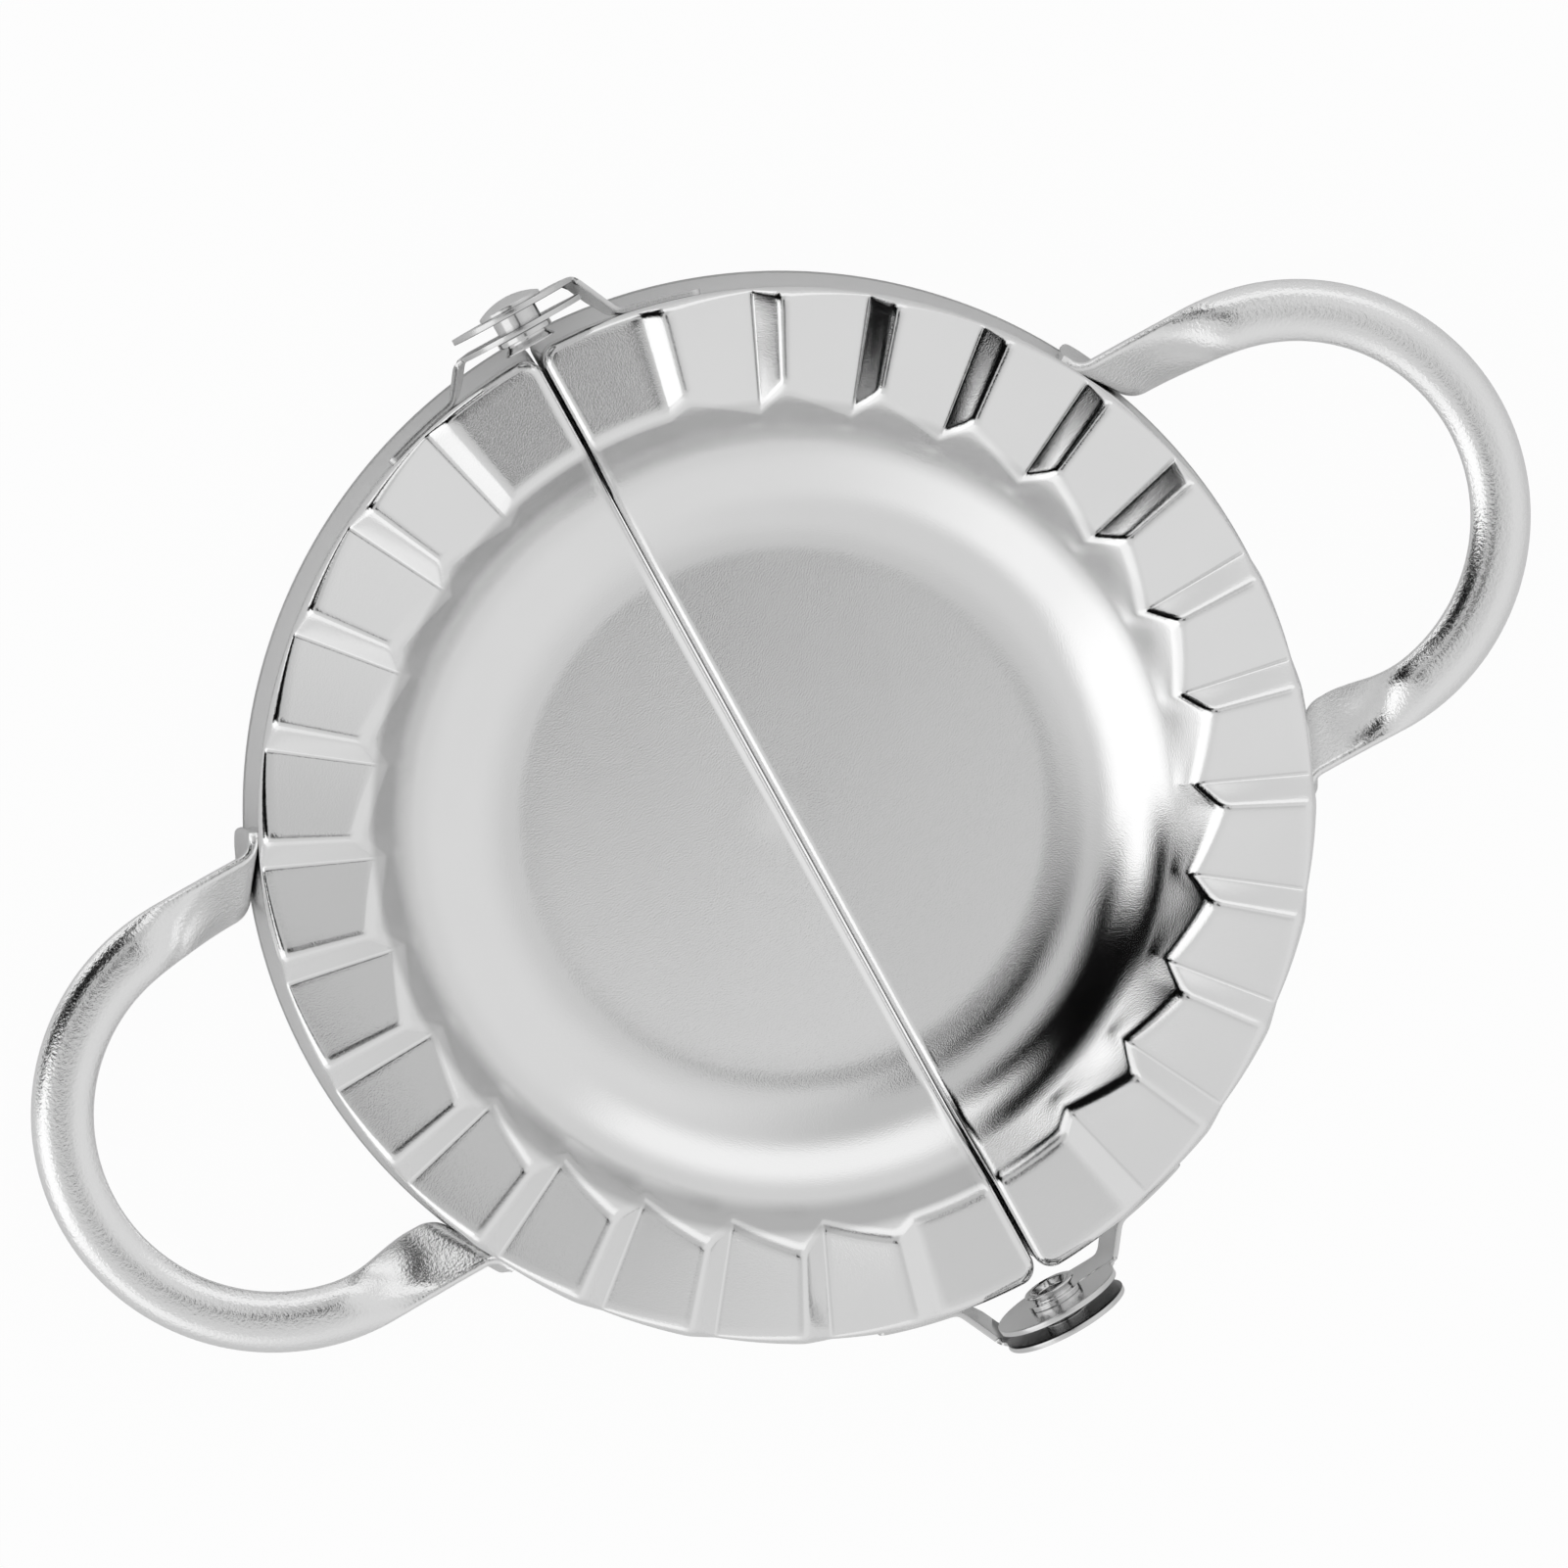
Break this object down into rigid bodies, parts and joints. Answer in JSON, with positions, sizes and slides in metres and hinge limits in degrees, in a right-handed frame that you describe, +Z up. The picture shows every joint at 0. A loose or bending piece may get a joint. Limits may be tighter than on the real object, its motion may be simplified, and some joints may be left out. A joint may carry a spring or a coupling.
{
  "type": "empanada press",
  "caption": "Round hinged steel press lying open: half-round dished dies with toothed rims, joined by riveted ears, each with a bent strip loop handle.",
  "frame": {"origin": "on the surface the press stands on, below the middle of the hinge line", "axes": "+X from the left handle to the right handle, +Y along the hinge line, +Z up, with the press lying open and its dishes facing up"},
  "size_m": [0.1502, 0.1063, 0.0171],
  "materials": {
    "die_steel": "satin stainless steel sheet with a faint pressed grain",
    "handle_steel": "tumbled bright stainless steel strip",
    "bracket_steel": "bright rolled stainless steel strip",
    "rivet_steel": "bright turned steel rivet"
  },
  "bodies": {
    "right_half": {"right_die": "die_steel", "right_handle": "handle_steel", "right_outer_bracket": "bracket_steel", "right_inner_bracket": "bracket_steel", "far_rivet": "rivet_steel", "near_rivet": "rivet_steel"},
    "left_half": {"left_die": "die_steel", "left_handle": "handle_steel", "left_outer_bracket": "bracket_steel", "left_inner_bracket": "bracket_steel"}
  },
  "joints": [
    {"name": "fold", "type": "hinge", "parent": "right_half", "child": "left_half", "pos_m": [0, 0, 0.0112], "axis": [0, 1, 0], "range_deg": [0, 180]}
  ]
}
